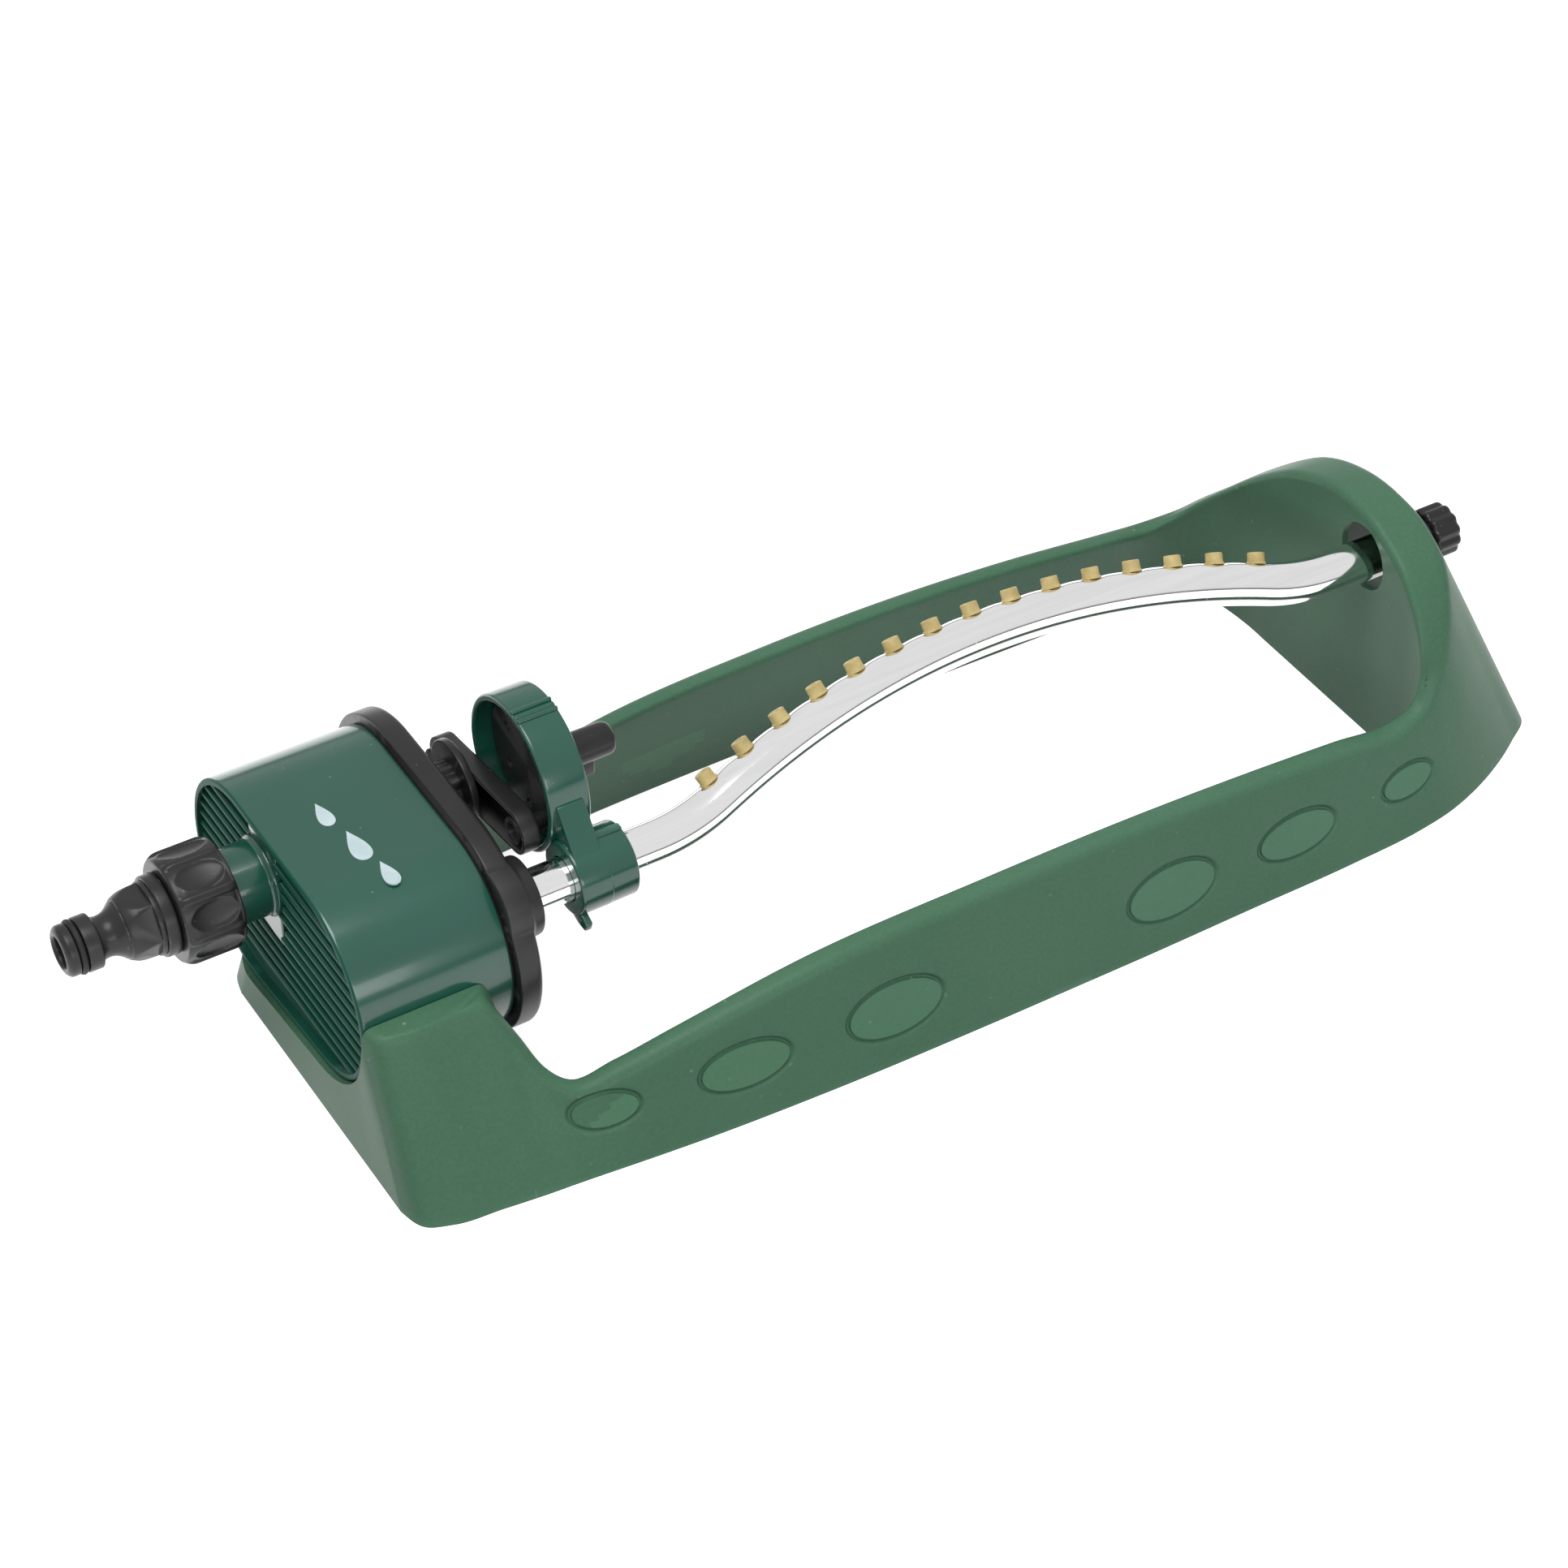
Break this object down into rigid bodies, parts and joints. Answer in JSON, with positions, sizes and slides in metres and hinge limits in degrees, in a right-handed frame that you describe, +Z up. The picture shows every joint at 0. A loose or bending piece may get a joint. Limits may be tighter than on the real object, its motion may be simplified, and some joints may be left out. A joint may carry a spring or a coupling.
{
  "type": "oscillating lawn sprinkler",
  "caption": "Oscillating lawn sprinkler: moulded ring frame, water-driven gear motor, arched spray tube with jet inserts, yoke with setting dial, hose connector.",
  "frame": {"origin": "on the ground, in the middle of the bounding box", "axes": "+Z up; -X towards the hose connector, +X towards the crown that carries the tube's far end; the tube rocks about an axis along X"},
  "size_m": [0.459, 0.153, 0.1066],
  "materials": {
    "frame_plastic": "satin green",
    "gloss_green": "gloss deep green",
    "black_plastic": "semi-gloss black",
    "seal_rubber": "matte",
    "gear_plastic": "natural acetal",
    "steel": "drawn",
    "filter_plastic": "fine screen",
    "polished_aluminium": "polished",
    "nozzle_plastic": "soft tan"
  },
  "bodies": {
    "base": {"base_frame": "frame_plastic", "motor_housing": "gloss_green", "motor_cover": "black_plastic", "cover_gasket": "seal_rubber", "tube_seal": "seal_rubber", "shaft_seal": "seal_rubber", "gear_plate": "gear_plastic", "turbine_axle": "steel", "idler_axle_1": "steel", "idler_axle_2": "steel", "inlet_washer": "seal_rubber", "inlet_filter": "filter_plastic", "hose_adapter": "black_plastic", "adapter_oring": "seal_rubber"},
    "nut": {"swivel_nut": "black_plastic"},
    "spray_arm": {"spray_tube": "polished_aluminium", "nozzle_01": "nozzle_plastic", "nozzle_02": "nozzle_plastic", "nozzle_03": "nozzle_plastic", "nozzle_04": "nozzle_plastic", "nozzle_05": "nozzle_plastic", "nozzle_06": "nozzle_plastic", "nozzle_07": "nozzle_plastic", "nozzle_08": "nozzle_plastic", "nozzle_09": "nozzle_plastic", "nozzle_10": "nozzle_plastic", "nozzle_11": "nozzle_plastic", "nozzle_12": "nozzle_plastic", "nozzle_13": "nozzle_plastic", "nozzle_14": "nozzle_plastic", "nozzle_15": "nozzle_plastic", "tube_yoke": "gloss_green", "plug_seal": "seal_rubber"},
    "plug": {"end_plug": "black_plastic"},
    "dial": {"selector_dial": "black_plastic"},
    "crank": {"crank_disc": "black_plastic", "crank_shaft": "steel", "output_gear": "gear_plastic"},
    "link": {"drive_link": "black_plastic"},
    "idler_2": {"idler_gear_2": "gear_plastic"},
    "idler_1": {"idler_gear_1": "gear_plastic"},
    "turbine": {"turbine_wheel": "gear_plastic"}
  },
  "joints": [
    {"name": "tube_rock", "type": "hinge", "parent": "base", "child": "spray_arm", "pos_m": [0.0415, -0.02085, 0.064], "axis": [1, 0, 0], "range_deg": [0, 85]},
    {"name": "crank_turn", "type": "hinge", "parent": "base", "child": "crank", "pos_m": [-0.1085, 0.02515, 0.0695], "axis": [1, 0, 0], "range_deg": [0, 177]},
    {"name": "link_swing", "type": "hinge", "parent": "crank", "child": "link", "pos_m": [-0.1045, 0.03715, 0.06785], "axis": [1, 0, 0], "range_deg": [-180, 0]},
    {"name": "idler_2_spin", "type": "hinge", "parent": "base", "child": "idler_2", "pos_m": [-0.1355, 0.0259, 0.06023], "axis": [1, 0, 0], "range_deg": [-354, 0]},
    {"name": "idler_1_spin", "type": "hinge", "parent": "base", "child": "idler_1", "pos_m": [-0.1405, 0.03098, 0.05244], "axis": [1, 0, 0], "range_deg": [0, 708]},
    {"name": "turbine_spin", "type": "hinge", "parent": "base", "child": "turbine", "pos_m": [-0.1485, 0.03915, 0.048], "axis": [1, 0, 0], "range_deg": [-1416, 0]},
    {"name": "dial_turn", "type": "hinge", "parent": "spray_arm", "child": "dial", "pos_m": [-0.0935, 0.00715, 0.082], "axis": [1, 0, 0], "range_deg": [0, 180]},
    {"name": "plug_screw", "type": "hinge", "parent": "spray_arm", "child": "plug", "pos_m": [0.2035, -0.02085, 0.064], "axis": [1, 0, 0], "continuous": true},
    {"name": "nut_screw", "type": "hinge", "parent": "base", "child": "nut", "pos_m": [-0.1885, 0.02915, 0.059], "axis": [1, 0, 0], "continuous": true}
  ],
  "couplings": [
    {"joint": "crank_turn", "follows": "tube_rock", "ratio": 2.0818},
    {"joint": "link_swing", "follows": "tube_rock", "ratio": -2.1176},
    {"joint": "idler_2_spin", "follows": "tube_rock", "ratio": -4.1636},
    {"joint": "idler_1_spin", "follows": "tube_rock", "ratio": 8.3271},
    {"joint": "turbine_spin", "follows": "tube_rock", "ratio": -16.654}
  ]
}
